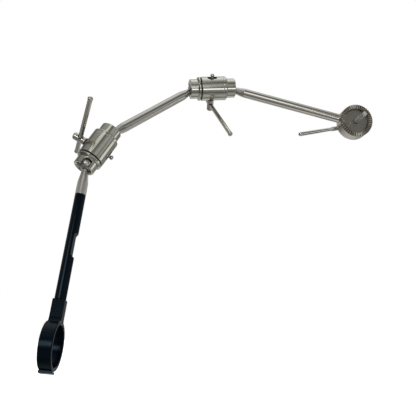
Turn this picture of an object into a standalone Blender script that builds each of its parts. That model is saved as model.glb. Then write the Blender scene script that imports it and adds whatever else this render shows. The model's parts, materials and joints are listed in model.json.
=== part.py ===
"""Lockable articulated holding arm: rosette coupling, two double ball-joint housings and a ring holder.

World frame: the origin is the centre of the rosette's toothed face, -Y is the way that face looks,
and +Z is up. Lengths are in millimetres here and become metres when a mesh is made.
"""
import math

import bpy
from mathutils import Matrix, Vector

MM = 0.001
GAP = 0.3                     # clearance left between two pieces that touch in the real arm

# ---- pose of the arm at rest, as directions (azimuth, elevation) in degrees -------------------------
MOUNT_ROD_WAY = (180.0, 14.5)
UPPER_WAY = (184.5, -4.5)
MIDDLE_ROD_WAY = (210.0, -34.0)
LOWER_WAY = (207.5, -55.5)
HANDLE_WAY = (245.0, -73.5)

# ---- lengths between centres --------------------------------------------------------------------------
HEAD_MID = 9.8                # depth of the rod's axis behind the toothed face
MOUNT_ROD_REACH = 150.5       # rosette axis to ball centre
BALL_SPACING = 36.0
MIDDLE_ROD_REACH = 126.5      # ball centre to ball centre
HANDLE_REACH = 171.0          # ball centre to the middle of the ring

# ---- rosette head ---------------------------------------------------------------------------------------
HEAD_R = 18.5
HEAD_DEPTH = 16.5
RECESS_R = 13.2
RECESS_DEPTH = 3.8
TEETH = 40
TOOTH_HEIGHT = 1.1
HEAD_BORE_R = 2.9
SCREW_R = 2.5
SCREW_NOSE = -24.0
HUB_R = 7.5
HUB_FRONT = 18.2
HUB_BACK = 27.5
LEVER_DEPTH = 22.8
LEVER_WAY = (180.0, -10.0)
LEVER_R = 2.1
LEVER_REACH = 62.5

# ---- rods and balls -------------------------------------------------------------------------------------
ROD_R = 5.0
NECK_R = 3.3
NECK_FROM = 7.0               # distances from a ball's centre
NECK_TO = 8.5
TAPER_TO = 21.0
TENON_R = 2.0
BALL_R = 7.5
BALL_FLAT = 6.7
BALL_BORE_R = 2.3

# ---- joint housing, in its own frame: z from its middle towards the handle, x along the T screw -----------
BODY_R = 13.0
BODY_REAR = -17.2
BODY_FRONT = 11.2
BODY_BORE_R = 8.0
CAP_BORE_R = 10.3
REAR_CAP_R = 10.5
REAR_CAP_END = -26.9
FRONT_CAP_R = 10.6
FRONT_CAP_STEP = 14.0
FRONT_CAP_END = 23.7
SPIGOT_R = 10.0
SEAT_BORE_R = 9.0
SEAT_R = 8.7
SEAT_SPHERE_R = 7.8
CUP_R = 7.7
SLOT_WIDTH = 8.8
SLOT_ARCH = 19.9
CROSS_AT = -1.0               # where the T screw and draw pin cross the housing
T_SCREW_R = 3.7
T_SCREW_END = 27.0
T_BAR_AT = 19.5
T_BAR_R = 2.25
T_BAR_HALF = 39.0
WINDOW = (11.0, 5.0)          # opening for the draw pin's tail, along and across the housing

UPPER_SCREW_TURN = -47.0      # T screw, about the housing axis from straight down
UPPER_BAR_TURN = 97.5        # tommy bar, about the T screw from the housing axis
UPPER_BAR_SLIDE = 29.5
UPPER_SLOT_TURN = 250.0
LOWER_SCREW_TURN = -157.0
LOWER_BAR_TURN = 255.0
LOWER_BAR_SLIDE = 18.0
LOWER_SLOT_TURN = 103.0

# ---- handle and ring holder, along the handle from its ball ---------------------------------------------
FERRULE_END = 33.2
NOTCH = (71.0, 94.5)
NOTCH_DEPTH = 2.6
ROD_END = 132.0
RING_R = 20.5
RING_BORE_R = 17.3
RING_WIDTH = 11.5
RING_TURN = 95.0              # ring axis, about the handle from +Y
NECK_BLOCK = (10.8, 9.2)      # along the ring axis, across it
FOOT_WIDTH = 9.0
FOOT_END = 22.4               # foot face, from the ring's centre


# ---- scene, collections and materials --------------------------------------------------------------------
def clear_scene():
    for thing in list(bpy.data.objects):
        bpy.data.objects.remove(thing, do_unlink=True)


def new_collection(name):
    made = bpy.data.collections.new(name)
    bpy.context.scene.collection.children.link(made)
    return made


def metal(name, colour, roughness, metallic=1.0):
    made = bpy.data.materials.new(name)
    made.use_nodes = True
    shader = made.node_tree.nodes["Principled BSDF"]
    shader.inputs["Base Color"].default_value = (*colour, 1.0)
    shader.inputs["Roughness"].default_value = roughness
    shader.inputs["Metallic"].default_value = metallic
    return made


clear_scene()
ARM = new_collection("holding_arm")
CUTTERS = new_collection("cutters")
STEEL = metal("brushed_stainless", (0.52, 0.51, 0.48), 0.32)
POLISHED = metal("polished_steel", (0.66, 0.65, 0.63), 0.18)
BLACK = metal("black_anodised", (0.012, 0.02, 0.03), 0.42, 0.3)
RUBBER = metal("black_rubber", (0.02, 0.02, 0.022), 0.7, 0.0)


# ---- frames ----------------------------------------------------------------------------------------------
def heading(way):
    """Unit vector for an (azimuth, elevation) pair."""
    azimuth, elevation = (math.radians(a) for a in way)
    flat = math.cos(elevation)
    return Vector((flat * math.cos(azimuth), flat * math.sin(azimuth), math.sin(elevation)))


def frame(origin, axis, datum, turn=0.0):
    """Matrix whose z is the axis, and whose x is the datum direction turned about it by some degrees."""
    z = Vector(axis).normalized()
    x = Vector(datum) - Vector(datum).dot(z) * z
    x.normalize()
    x = Matrix.Rotation(math.radians(turn), 3, z) @ x
    y = z.cross(x)
    rotation = Matrix((x, y, z)).transposed()
    return Matrix.Translation(Vector(origin)) @ rotation.to_4x4()


UP = Vector((0, 0, 1))
DOWN = Vector((0, 0, -1))
BACK = Vector((0, 1, 0))

MOUNT_CENTRE = Vector((0, HEAD_MID, 0))
BALL_A = MOUNT_CENTRE + MOUNT_ROD_REACH * heading(MOUNT_ROD_WAY)
BALL_B = BALL_A + BALL_SPACING * heading(UPPER_WAY)
BALL_C = BALL_B + MIDDLE_ROD_REACH * heading(MIDDLE_ROD_WAY)
BALL_D = BALL_C + BALL_SPACING * heading(LOWER_WAY)
RING_CENTRE = BALL_D + HANDLE_REACH * heading(HANDLE_WAY)


# ---- shapes ----------------------------------------------------------------------------------------------
def solid(name, points, faces, place, material, collection=None):
    """Mesh object from points in millimetres in the frame 'place'."""
    mesh = bpy.data.meshes.new(name)
    mesh.from_pydata([tuple(MM * (place @ Vector(p))) for p in points], [], faces)
    mesh.materials.append(material)
    made = bpy.data.objects.new(name, mesh)
    (collection or ARM).objects.link(made)
    return made


def lathe(name, profile, place, material, steps=40, collection=None, teeth_on=()):
    """Solid turned about z. The profile is (radius, z) pairs, anticlockwise in the r-z half plane.

    Points on the axis become poles, and a profile that never meets the axis closes on itself. The
    profile points listed in teeth_on rise and fall from one step to the next by a tooth's height.
    """
    points = []
    rings = []
    for number, (radius, z) in enumerate(profile):
        if radius < 1e-6:
            rings.append([len(points)] * steps)
            points.append((0.0, 0.0, z))
            continue
        rings.append(list(range(len(points), len(points) + steps)))
        for step in range(steps):
            angle = math.tau * step / steps
            drop = TOOTH_HEIGHT if number in teeth_on and step % 2 else 0.0
            points.append((radius * math.cos(angle), radius * math.sin(angle), z - drop))
    faces = []
    count = len(profile)
    closed = profile[0][0] > 1e-6
    for number in range(count if closed else count - 1):
        low, high = rings[number], rings[(number + 1) % count]
        for step in range(steps):
            after = (step + 1) % steps
            corners = [low[step], low[after], high[after], high[step]]
            unique = list(dict.fromkeys(corners))
            if len(unique) > 2:
                faces.append(unique)
    return solid(name, points, faces, place, material, collection)


def block(name, low, high, place, material, collection=None):
    """Box between two corners of the frame 'place'."""
    points = [(x, y, z) for x in (low[0], high[0]) for y in (low[1], high[1]) for z in (low[2], high[2])]
    faces = [(0, 1, 3, 2), (4, 6, 7, 5), (0, 4, 5, 1), (2, 3, 7, 6), (0, 2, 6, 4), (1, 5, 7, 3)]
    return solid(name, points, faces, place, material, collection)


def cylinder(name, radius, start, end, place, steps=24):
    """Cutter: a plain cylinder along z."""
    made = lathe(name, [(0, start), (radius, start), (radius, end), (0, end)], place, STEEL, steps, CUTTERS)
    return hidden(made)


def hidden(cutter):
    cutter.hide_render = True
    cutter.display_type = "WIRE"
    return cutter


def combine(target, cutter, operation="DIFFERENCE"):
    step = target.modifiers.new(cutter.name, "BOOLEAN")
    step.operation = operation
    step.solver = "EXACT"
    step.object = cutter
    return target


def arc(centre, radius, start, end, count):
    """Points of a sphere's profile between two angles from the +z pole, in degrees."""
    angles = [math.radians(start + (end - start) * n / count) for n in range(count + 1)]
    return [(radius * math.sin(a), centre + radius * math.cos(a)) for a in angles]


# ---- mounting end ----------------------------------------------------------------------------------------
def rosette_head():
    place = frame((0, 0, 0), -BACK, UP)
    root = -TOOTH_HEIGHT
    profile = [
        (HEAD_BORE_R, -HEAD_DEPTH), (HEAD_R - 0.8, -HEAD_DEPTH), (HEAD_R, -HEAD_DEPTH + 0.8),
        (HEAD_R, root - 0.5), (HEAD_R - 0.4, 0.0), (RECESS_R + 0.3, 0.0), (RECESS_R, root - 0.5),
        (RECESS_R, -RECESS_DEPTH), (HEAD_BORE_R, -RECESS_DEPTH),
    ]
    head = lathe("rosette_head", profile, place, STEEL, 2 * TEETH, teeth_on=(4, 5))
    rod = frame(MOUNT_CENTRE, heading(MOUNT_ROD_WAY), UP)
    combine(head, cylinder("rod_socket_cut", ROD_R + GAP, 10.6, 30.0, rod, 32))
    combine(head, cylinder("pin_cut", 1.5 + GAP, -18.0, -6.0, dowel_frame(), 16))


def dowel_frame():
    return frame(14.6 * heading(MOUNT_ROD_WAY), -BACK, UP)


def clamp_parts():
    place = frame((0, 0, 0), -BACK, UP)
    screw = [
        (0, -HUB_BACK), (HUB_R - 2.2, -HUB_BACK), (HUB_R, -HUB_BACK + 1.6), (HUB_R, -HUB_FRONT - 0.5),
        (HUB_R - 0.5, -HUB_FRONT), (SCREW_R, -HUB_FRONT), (SCREW_R, -SCREW_NOSE - 1.6),
        (SCREW_R - 1.2, -SCREW_NOSE), (0, -SCREW_NOSE),
    ]
    made = lathe("clamp_screw", screw, place, POLISHED, 32)
    lever = frame((0, LEVER_DEPTH, 0), heading(LEVER_WAY), UP)
    combine(made, cylinder("lever_cut", 1.6 + GAP, 3.0, 12.0, lever, 20))
    washer = [(HEAD_BORE_R, -17.9), (HUB_R, -17.9), (HUB_R, -16.8), (HEAD_BORE_R, -16.8)]
    lathe("clamp_washer", washer, place, STEEL, 32)
    handle = [
        (0, 3.4), (1.6, 3.4), (1.6, 7.9), (2.6, 7.9), (2.6, 21.5), (2.2, 23.0), (1.9, 24.5),
        (LEVER_R, 36.0), (LEVER_R + 0.2, LEVER_REACH - 2.2), (LEVER_R - 0.6, LEVER_REACH - 0.4),
        (0, LEVER_REACH),
    ]
    lathe("clamp_lever", handle, lever, POLISHED, 20)


def rod_end(sign, reach):
    """Profile of a rod's end from its tenon to the full bore, for a ball whose centre is at 'reach'."""
    at = [reach + sign * d for d in (-1.4, NECK_FROM, NECK_FROM, NECK_TO, TAPER_TO)]
    radii = (TENON_R, TENON_R, NECK_R, NECK_R, ROD_R)
    points = list(zip(radii, at))
    return [(0, at[0])] + points if sign > 0 else points[::-1] + [(0, at[0])]


def rods():
    mount = frame(MOUNT_CENTRE, heading(MOUNT_ROD_WAY), UP)
    start = [(0, 11.0), (ROD_R - 0.6, 11.0), (ROD_R, 11.6)]
    rod = lathe("mount_rod", start + rod_end(-1, MOUNT_ROD_REACH), mount, STEEL, 32)
    combine(rod, cylinder("pin_cut_rod", 1.5 + GAP, -18.0, -6.0, dowel_frame(), 16))
    pin = [(0, -16.4), (1.5, -16.4), (1.5, -6.3), (0, -6.3)]
    lathe("mount_rod_pin", pin, dowel_frame(), POLISHED, 16)
    middle = frame(BALL_B, heading(MIDDLE_ROD_WAY), UP)
    lathe("middle_rod", rod_end(1, 0.0) + rod_end(-1, MIDDLE_ROD_REACH), middle, STEEL, 32)


# ---- joint housing ---------------------------------------------------------------------------------------
def ball(name, centre, way):
    """Ball with a flat and a blind bore towards its rod; z points at the rod."""
    place = frame(centre, way, UP)
    flat = math.degrees(math.acos(BALL_FLAT / BALL_R))
    profile = arc(0.0, BALL_R, 180.0, flat, 10)
    profile += [(BALL_BORE_R, BALL_FLAT), (BALL_BORE_R, -1.8), (0, -1.8)]
    lathe(name, profile, place, POLISHED, 26)


def oblong(name, half, ends, reach, place):
    """Cutter: a bar along x with semicircular low and high ends, of half-width 'half' in y."""
    arcs = ((ends[1] - half, 0.0), (ends[0] + half, 180.0))
    outline = []
    for middle, start in arcs:
        for n in range(12):
            angle = math.radians(start + 180.0 * n / 11)
            outline.append((half * math.cos(angle), middle + half * math.sin(angle)))
    return prism(name, outline, reach, place)


def prism(name, outline, reach, place):
    """Cutter: an outline of (y, z) points, extruded along x between the two values of 'reach'."""
    count = len(outline)
    points = [(reach[0], y, z) for y, z in outline] + [(reach[1], y, z) for y, z in outline]
    faces = [tuple(range(count))[::-1], tuple(range(count, 2 * count))]
    faces += [(n, (n + 1) % count, (n + 1) % count + count, n + count) for n in range(count)]
    return hidden(solid(name, points, faces, place, STEEL, CUTTERS))


def slotted(target, label, place, turn):
    """Cuts the fold slot: a straight-sided opening with a round end, from the mouth back to the ball."""
    turned = place @ Matrix.Rotation(math.radians(turn), 4, "Z")
    half = SLOT_WIDTH / 2
    combine(target, oblong(label + "_slot", half, (SLOT_ARCH - half, 40.0), (3.0, 16.0), turned))


def crossing(place):
    """Frame of the T screw and draw pin: its z is the housing's x."""
    return place @ Matrix.Translation((0, 0, CROSS_AT)) @ Matrix.Rotation(math.radians(90), 4, "Y")


def housing_body(label, place):
    profile = [
        (CAP_BORE_R, BODY_REAR), (BODY_R - 1.1, BODY_REAR), (BODY_R, BODY_REAR + 1.1),
        (BODY_R, BODY_FRONT - 0.4), (BODY_R - 0.4, BODY_FRONT), (CAP_BORE_R, BODY_FRONT),
        (CAP_BORE_R, 5.4), (BODY_BORE_R, 5.4), (BODY_BORE_R, -7.4), (CAP_BORE_R, -7.4),
    ]
    body = lathe(label + "_body", profile, place, STEEL, 44)
    across = crossing(place)
    hole = [(0, 4.0), (2.6, 4.0), (2.6, 11.8), (4.8, 11.8), (4.8, 16.0), (0, 16.0)]
    combine(body, hidden(lathe(label + "_screw_hole", hole, across, STEEL, 26, CUTTERS)))
    half = WINDOW[0] / 2
    ends = (CROSS_AT - half, CROSS_AT + half)
    combine(body, oblong(label + "_window", WINDOW[1] / 2, ends, (-16.0, -4.0), place))


def rear_cap(label, place):
    profile = [
        (SEAT_BORE_R, -7.8), (SEAT_BORE_R, -22.9), (6.8, -22.9), (8.8, REAR_CAP_END),
        (REAR_CAP_R - 0.6, REAR_CAP_END), (REAR_CAP_R, REAR_CAP_END + 0.6),
        (REAR_CAP_R, BODY_REAR - GAP), (SPIGOT_R, BODY_REAR - GAP), (SPIGOT_R, -7.8),
    ]
    lathe(label + "_rear_cap", profile, place, STEEL, 40)


def front_cap(label, place, turn):
    profile = [
        (SEAT_BORE_R, 5.8), (SPIGOT_R, 5.8), (SPIGOT_R, FRONT_CAP_STEP), (FRONT_CAP_R, FRONT_CAP_STEP),
        (FRONT_CAP_R, FRONT_CAP_END - 0.6), (FRONT_CAP_R - 0.6, FRONT_CAP_END), (8.8, FRONT_CAP_END),
        (7.5, 21.9), (SEAT_BORE_R, 21.9),
    ]
    slotted(lathe(label + "_front_cap", profile, place, STEEL, 40), label + "_cap", place, turn)
    over = FRONT_CAP_R + GAP
    thrust = [
        (CAP_BORE_R, 12.6), (12.8, 12.6), (12.8, 14.0), (11.6, 15.3), (over, 15.3),
        (over, FRONT_CAP_STEP - GAP), (CAP_BORE_R, FRONT_CAP_STEP - GAP),
    ]
    lathe(label + "_thrust_ring", thrust, place, STEEL, 40)
    seal = [(CAP_BORE_R, 11.5), (12.3, 11.5), (12.3, 12.3), (CAP_BORE_R, 12.3)]
    lathe(label + "_seal_ring", seal, place, RUBBER, 40)


def seat_profile(sign):
    """Ring with a spherical seat on the outer side of the ball whose centre is at half the spacing."""
    centre = BALL_SPACING / 2
    seat = arc(centre, SEAT_SPHERE_R, 98.0, 64.0 if sign > 0 else 55.0, 5)
    loop = [(SEAT_R, seat[0][1]), (SEAT_R, seat[-1][1])] + seat[::-1]
    return loop if sign > 0 else [(r, -z) for r, z in loop][::-1]


def cup_profile(sign):
    """Cup with a spherical seat on the inner side of the ball, and its back against the draw pin."""
    centre = BALL_SPACING / 2
    back = 3.2 + sign * CROSS_AT
    seat = arc(centre, SEAT_SPHERE_R, 122.0, 170.0, 6) + [(0, centre - SEAT_SPHERE_R)]
    loop = [(0, back), (CUP_R, back), (CUP_R, seat[0][1])] + seat
    return loop if sign > 0 else [(r, -z) for r, z in loop][::-1]


def pressure_parts(label, place, slot_turn):
    across = crossing(place)
    for end, sign in (("rear", -1), ("front", 1)):
        cup = lathe(f"{label}_{end}_cup", cup_profile(sign), place, POLISHED, 26)
        wedge = [(0, -9.0), (4.94 + GAP, -9.0), (3.36 + GAP, 9.0), (0, 9.0)]
        cutter = lathe(f"{label}_{end}_wedge_cut", wedge, across, STEEL, 22, CUTTERS)
        combine(cup, hidden(cutter))
    lathe(label + "_rear_seat", seat_profile(-1), place, POLISHED, 28)
    front = lathe(label + "_front_seat", seat_profile(1), place, POLISHED, 28)
    slotted(front, label + "_seat", place, slot_turn)
    pin = [
        (0, -17.6), (1.4, -17.3), (2.3, -16.3), (2.3, -15.4), (1.4, -14.4), (1.7, -13.4), (1.7, -5.6),
        (4.2, -5.6), (4.6, -5.1), (3.6, 6.3), (2.6, 6.7), (2.6, 1.2), (0, 1.2),
    ]
    lathe(label + "_draw_pin", pin, across, POLISHED, 22)


def t_screw(label, place, bar_turn, bar_slide):
    across = crossing(place)
    profile = [
        (0, 1.8), (2.2, 1.8), (2.2, 13.6), (T_SCREW_R - 0.3, 13.6), (T_SCREW_R, 14.0),
        (T_SCREW_R, T_SCREW_END - 1.4), (T_SCREW_R - 1.3, T_SCREW_END - 0.2), (0, T_SCREW_END),
    ]
    screw = lathe(label + "_t_screw", profile, across, STEEL, 28)
    bar = place @ Matrix.Translation((T_BAR_AT, 0, CROSS_AT))
    bar = bar @ Matrix.Rotation(math.radians(-bar_turn), 4, "X")
    combine(screw, cylinder(label + "_bar_hole", T_BAR_R + 0.15, -6.0, 6.0, bar, 24))
    washer = [(2.5, 12.1), (4.4, 12.1), (4.4, 13.3), (2.5, 13.3)]
    lathe(label + "_t_washer", washer, across, RUBBER, 28)
    end = T_BAR_HALF
    profile = [
        (0, -end), (1.7, -end + 0.5), (2.6, -end + 2.0), (2.6, -end + 3.0), (T_BAR_R, -end + 3.6),
        (T_BAR_R, end - 3.6), (2.6, end - 3.0), (2.6, end - 2.0), (1.7, end - 0.5), (0, end),
    ]
    lathe(label + "_tommy_bar", profile, bar @ Matrix.Translation((0, 0, bar_slide)), STEEL, 20)


def joint_housing(label, rear_ball, way, rear_rod, front_rod, turns):
    screw_turn, bar_turn, bar_slide, slot_turn = turns
    middle = rear_ball + BALL_SPACING / 2 * way
    place = frame(middle, way, DOWN, screw_turn)
    slot = slot_turn - screw_turn
    housing_body(label, place)
    rear_cap(label, place)
    front_cap(label, place, slot)
    pressure_parts(label, place, slot)
    t_screw(label, place, bar_turn, bar_slide)
    ball(label + "_rear_ball", rear_ball, rear_rod)
    ball(label + "_front_ball", rear_ball + BALL_SPACING * way, front_rod)


# ---- handle ----------------------------------------------------------------------------------------------
def handle():
    way = heading(HANDLE_WAY)
    place = frame(BALL_D, way, BACK, RING_TURN)
    ferrule = rod_end(1, 0.0) + [(ROD_R + 0.1, FERRULE_END - 0.3), (ROD_R - 0.2, FERRULE_END)]
    ferrule += [(3.0, FERRULE_END), (3.0, FERRULE_END + 8.0), (0, FERRULE_END + 8.0)]
    lathe("handle_ferrule", ferrule, place, STEEL, 32)
    start = FERRULE_END + GAP
    profile = [
        (0, start + 8.5), (3.3, start + 8.5), (3.3, start), (ROD_R - 0.3, start), (ROD_R, start + 0.3),
        (ROD_R, ROD_END), (3.6, ROD_END), (3.6, ROD_END + 9.0), (0, ROD_END + 9.0),
    ]
    rod = lathe("handle_rod", profile, place, BLACK, 32)
    low, high = NOTCH
    floor = ROD_R - NOTCH_DEPTH
    outline = [(-8.0, high + 2.0), (-8.0, low - 2.0), (-floor, low + 2.0), (-floor, high - 2.0)]
    side = place @ Matrix.Rotation(math.radians(90), 4, "Z")
    combine(rod, prism("notch_cut", outline, (-8.0, 8.0), side))


def ring_holder():
    way = heading(HANDLE_WAY)
    rod = frame(BALL_D, way, BACK, RING_TURN)
    axis = rod.to_3x3() @ Vector((1, 0, 0))
    ring = frame(RING_CENTRE, axis, way)
    half = RING_WIDTH / 2
    profile = [
        (RING_BORE_R, -half + 0.5), (RING_BORE_R + 0.5, -half), (RING_R - 0.5, -half), (RING_R, -half + 0.5),
        (RING_R, half - 0.5), (RING_R - 0.5, half), (RING_BORE_R + 0.5, half), (RING_BORE_R, half - 0.5),
    ]
    holder = lathe("ring_holder", profile, ring, BLACK, 56)
    top = ROD_END + GAP
    wide, deep = (size / 2 for size in NECK_BLOCK)
    neck = block("ring_neck", (-wide, -deep, top), (wide, deep, HANDLE_REACH - 18.6), rod, BLACK, CUTTERS)
    combine(holder, hidden(neck), "UNION")
    combine(holder, cylinder("neck_socket_cut", 3.9, top - 2.0, ROD_END + 9.4, rod, 20))
    cross = rod @ Matrix.Translation((0, 0, ROD_END + 5.0)) @ Matrix.Rotation(math.radians(90), 4, "X")
    combine(holder, cylinder("set_screw_cut", 1.8, 0.0, 8.0, cross, 16))
    screw = [(0, 4.0), (1.5, 4.0), (1.5, 4.6), (0, 4.6)]
    lathe("holder_set_screw", screw, cross, POLISHED, 16)
    foot = block("foot_pad", (-half, -FOOT_WIDTH / 2, 17.0), (half, FOOT_WIDTH / 2, FOOT_END),
                 frame(RING_CENTRE, way, axis), BLACK)
    combine(foot, cylinder("foot_cut", RING_R + GAP, -10.0, 10.0, ring, 56))


rosette_head()
clamp_parts()
rods()
joint_housing(
    "upper", BALL_A, heading(UPPER_WAY), -heading(MOUNT_ROD_WAY), heading(MIDDLE_ROD_WAY),
    (UPPER_SCREW_TURN, UPPER_BAR_TURN, UPPER_BAR_SLIDE, UPPER_SLOT_TURN),
)
joint_housing(
    "lower", BALL_C, heading(LOWER_WAY), -heading(MIDDLE_ROD_WAY), heading(HANDLE_WAY),
    (LOWER_SCREW_TURN, LOWER_BAR_TURN, LOWER_BAR_SLIDE, LOWER_SLOT_TURN),
)
handle()
ring_holder()
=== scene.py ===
"""Looks of the lockable holding arm: fine turned-steel pieces, anodised handle and ring, a studio.

Every piece is modelled in millimetres in its own frame, whose z is its turning axis. The frames
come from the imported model's joints and mounts. A piece's mesh is then moved to the row frame, in
metres. The pieces hidden inside the housings keep their CAD shape and only get a material.
"""
import json
import math

import bpy
from mathutils import Matrix, Vector


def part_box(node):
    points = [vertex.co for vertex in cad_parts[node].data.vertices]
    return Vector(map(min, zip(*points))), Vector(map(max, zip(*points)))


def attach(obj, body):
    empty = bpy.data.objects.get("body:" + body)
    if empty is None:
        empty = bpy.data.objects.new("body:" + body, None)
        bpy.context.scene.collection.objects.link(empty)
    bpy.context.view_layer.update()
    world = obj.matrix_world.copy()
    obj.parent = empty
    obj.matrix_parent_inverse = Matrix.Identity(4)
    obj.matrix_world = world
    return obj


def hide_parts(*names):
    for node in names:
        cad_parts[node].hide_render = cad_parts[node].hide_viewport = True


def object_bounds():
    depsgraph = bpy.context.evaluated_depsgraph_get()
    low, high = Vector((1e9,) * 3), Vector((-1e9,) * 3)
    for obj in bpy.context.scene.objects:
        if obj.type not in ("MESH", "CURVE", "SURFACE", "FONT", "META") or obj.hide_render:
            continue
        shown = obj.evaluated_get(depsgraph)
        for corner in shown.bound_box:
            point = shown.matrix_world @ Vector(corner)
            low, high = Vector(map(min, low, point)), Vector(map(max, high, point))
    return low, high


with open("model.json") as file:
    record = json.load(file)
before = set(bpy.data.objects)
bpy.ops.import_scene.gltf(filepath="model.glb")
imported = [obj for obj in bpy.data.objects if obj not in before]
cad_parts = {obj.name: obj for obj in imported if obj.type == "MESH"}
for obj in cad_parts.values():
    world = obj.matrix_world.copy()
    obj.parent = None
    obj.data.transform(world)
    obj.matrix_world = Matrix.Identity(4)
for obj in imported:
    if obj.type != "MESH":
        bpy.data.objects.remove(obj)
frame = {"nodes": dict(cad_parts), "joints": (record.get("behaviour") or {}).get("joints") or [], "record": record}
CAD_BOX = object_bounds()

MM = 0.001
UP = Vector((0, 0, 1))
BACK = Vector((0, 1, 0))
RECORD = frame["record"]
JOINTS = {joint["name"]: joint for joint in frame["joints"]}
MOUNTS = {mount["name"]: mount for mount in RECORD["mounts"]}
BODY_OF = {node: body for body, nodes in RECORD["behaviour"]["bodies"].items() for node in nodes}
SLOT_OF = {part["node"]: part["material_slot"] for part in RECORD["subparts"]}

# ---- sizes in millimetres, as in the CAD ---------------------------------------------------------
GAP = 0.3
HEAD_MID = 9.8
HEAD_R = 18.5
HEAD_DEPTH = 16.5
RECESS_R = 13.2
RECESS_DEPTH = 3.8
TEETH = 40
TOOTH_HEIGHT = 1.1
HEAD_BORE_R = 2.9
SCREW_R = 2.5
SCREW_NOSE = 24.0
HUB_R = 7.5
HUB_FRONT = 18.2
HUB_BACK = 27.5
LEVER_DEPTH = 22.8
LEVER_TILT = -10.0            # degrees above the horizontal
LEVER_R = 2.1
LEVER_REACH = 62.5
LEVER_TENON_R = 1.6
LEVER_HOLE = (3.0, 12.0)      # along the lever
CLAMP_WASHER = (16.8, 17.9)   # depths behind the toothed face
DOWEL_AT = 14.6               # from the rosette's axis, along the mounting rod
DOWEL_R = 1.5
DOWEL_ENDS = (-16.4, -6.3)
DOWEL_HOLE = (-18.0, -6.0)
SOCKET_FROM = 10.6            # from the rosette's axis
MOUNT_ROD_FROM = 11.0
ROD_R = 5.0
NECK_R = 3.3
NECK_FROM = 7.0
NECK_TO = 8.5
TAPER_TO = 21.0
TENON_R = 2.0
TENON_END = -1.4              # from the ball's centre; below zero is past it
BALL_R = 7.5
BALL_FLAT = 6.7
BALL_BORE_R = 2.3
BALL_BORE_END = -1.8
BALL_SPACING = 36.0
BODY_R = 13.0
BODY_REAR = -17.2
BODY_FRONT = 11.2
BODY_BORE_R = 8.0
BODY_COLLAR = (-7.4, 5.4)     # where the narrow bore inside the body starts and ends
CAP_BORE_R = 10.3
REAR_CAP_R = 10.5
REAR_CAP_END = -26.9
FRONT_CAP_R = 10.6
FRONT_CAP_STEP = 14.0
FRONT_CAP_END = 23.7
CAP_MOUTH_R = 8.8
SPIGOT_R = 10.0
SPIGOT_ENDS = (-7.8, 5.8)     # inner ends of the two caps, either side of the collar
CAP_WALLS = (-22.9, 21.9)     # inner faces of the caps' end walls
SEAT_BORE_R = 9.0
SEAT_R = 8.7
SEAT_SPHERE_R = 7.8
SLOT_WIDTH = 8.8
SLOT_ARCH = 19.9
CROSS_AT = -1.0               # where the T screw and the draw pin cross the housing
T_SCREW_R = 3.7
T_SCREW_END = 27.0
T_BAR_AT = 19.5
T_BAR_R = 2.25
T_BAR_HALF = 39.0
WINDOW = (11.0, 5.0)          # opening for the draw pin's tail, along and across the housing
FERRULE_END = 33.2
FERRULE_TENON = 8.0           # how far the ferrule goes into the handle rod
FERRULE_TENON_R = 3.0
NOTCH = (71.0, 94.5)          # from the ball's centre
NOTCH_SLOPE = 2.0
NOTCH_DEPTH = 2.6
ROD_END = 132.0
PLUG = 9.0                    # how far the handle rod goes into the ring holder's neck
PLUG_R = 3.6
SET_SCREW_AT = 5.0            # from the rod's end, along the plug
SET_SCREW_R = 1.5
HANDLE_REACH = 171.0
RING_R = 20.5
RING_BORE_R = 17.3
RING_WIDTH = 11.5
NECK_BLOCK = (10.8, 9.2)      # along the ring's axis, and across it
FOOT_WIDTH = 9.0
FOOT_TOP = 17.0
FOOT_END = 22.4               # from the ring's centre
SLOT_FROM_SCREW = {"upper": 297.0, "lower": 260.0}  # fold slot, about the housing from its T screw


# ---- frames --------------------------------------------------------------------------------------
def way_of(joint):
    return Vector(JOINTS[joint]["axis"]).normalized()


def point_of(joint):
    return Vector(JOINTS[joint]["pos_m"])


def placed(origin, z, x):
    """Matrix from a piece's millimetres to the row frame's metres.

    Its z is the one given, and its x is as near to the one given as a right angle allows.
    """
    z = Vector(z).normalized()
    x = Vector(x) - Vector(x).dot(z) * z
    x.normalize()
    rotation = Matrix((x, z.cross(x), z)).transposed().to_4x4()
    return Matrix.Translation(Vector(origin)) @ rotation @ Matrix.Scale(MM, 4)


def along(place, distance):
    return place @ Matrix.Translation((0, 0, distance))


MOUNT_WAY = way_of("upper_rear_spin")
MIDDLE_WAY = way_of("upper_front_spin")
HANDLE_WAY = way_of("lower_front_spin")
RING_AXIS = Vector(MOUNTS["ring_side"]["axis"]).normalized()
LEVER_WAY = Vector((-math.cos(math.radians(LEVER_TILT)), 0, math.sin(math.radians(LEVER_TILT))))
REAR_BALL = {arm: point_of(arm + "_rear_spin") for arm in ("upper", "lower")}
FRONT_BALL = {arm: point_of(arm + "_front_spin") for arm in ("upper", "lower")}
MOUNT_CENTRE = HEAD_MID * MM * BACK
MOUNT_ROD_REACH = (REAR_BALL["upper"] - MOUNT_CENTRE).length / MM
MIDDLE_ROD_REACH = (REAR_BALL["lower"] - FRONT_BALL["upper"]).length / MM

ROSETTE = placed((0, 0, 0), -BACK, UP)
MOUNT_ROD = placed(MOUNT_CENTRE, MOUNT_WAY, UP)
DOWEL = placed(DOWEL_AT * MM * MOUNT_WAY, -BACK, UP)
LEVER = placed(LEVER_DEPTH * MM * BACK, LEVER_WAY, UP)
MIDDLE_ROD = placed(FRONT_BALL["upper"], MIDDLE_WAY, UP)
HANDLE = placed(FRONT_BALL["lower"], HANDLE_WAY, RING_AXIS)
RING_CENTRE = FRONT_BALL["lower"] + HANDLE_REACH * MM * HANDLE_WAY
RING = placed(RING_CENTRE, RING_AXIS, HANDLE_WAY)
FOOT = placed(RING_CENTRE, HANDLE_WAY, RING_AXIS)


# ---- shapes --------------------------------------------------------------------------------------
ON_AXIS = 1e-6                # a point nearer the axis than this, in millimetres, is a pole


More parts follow.
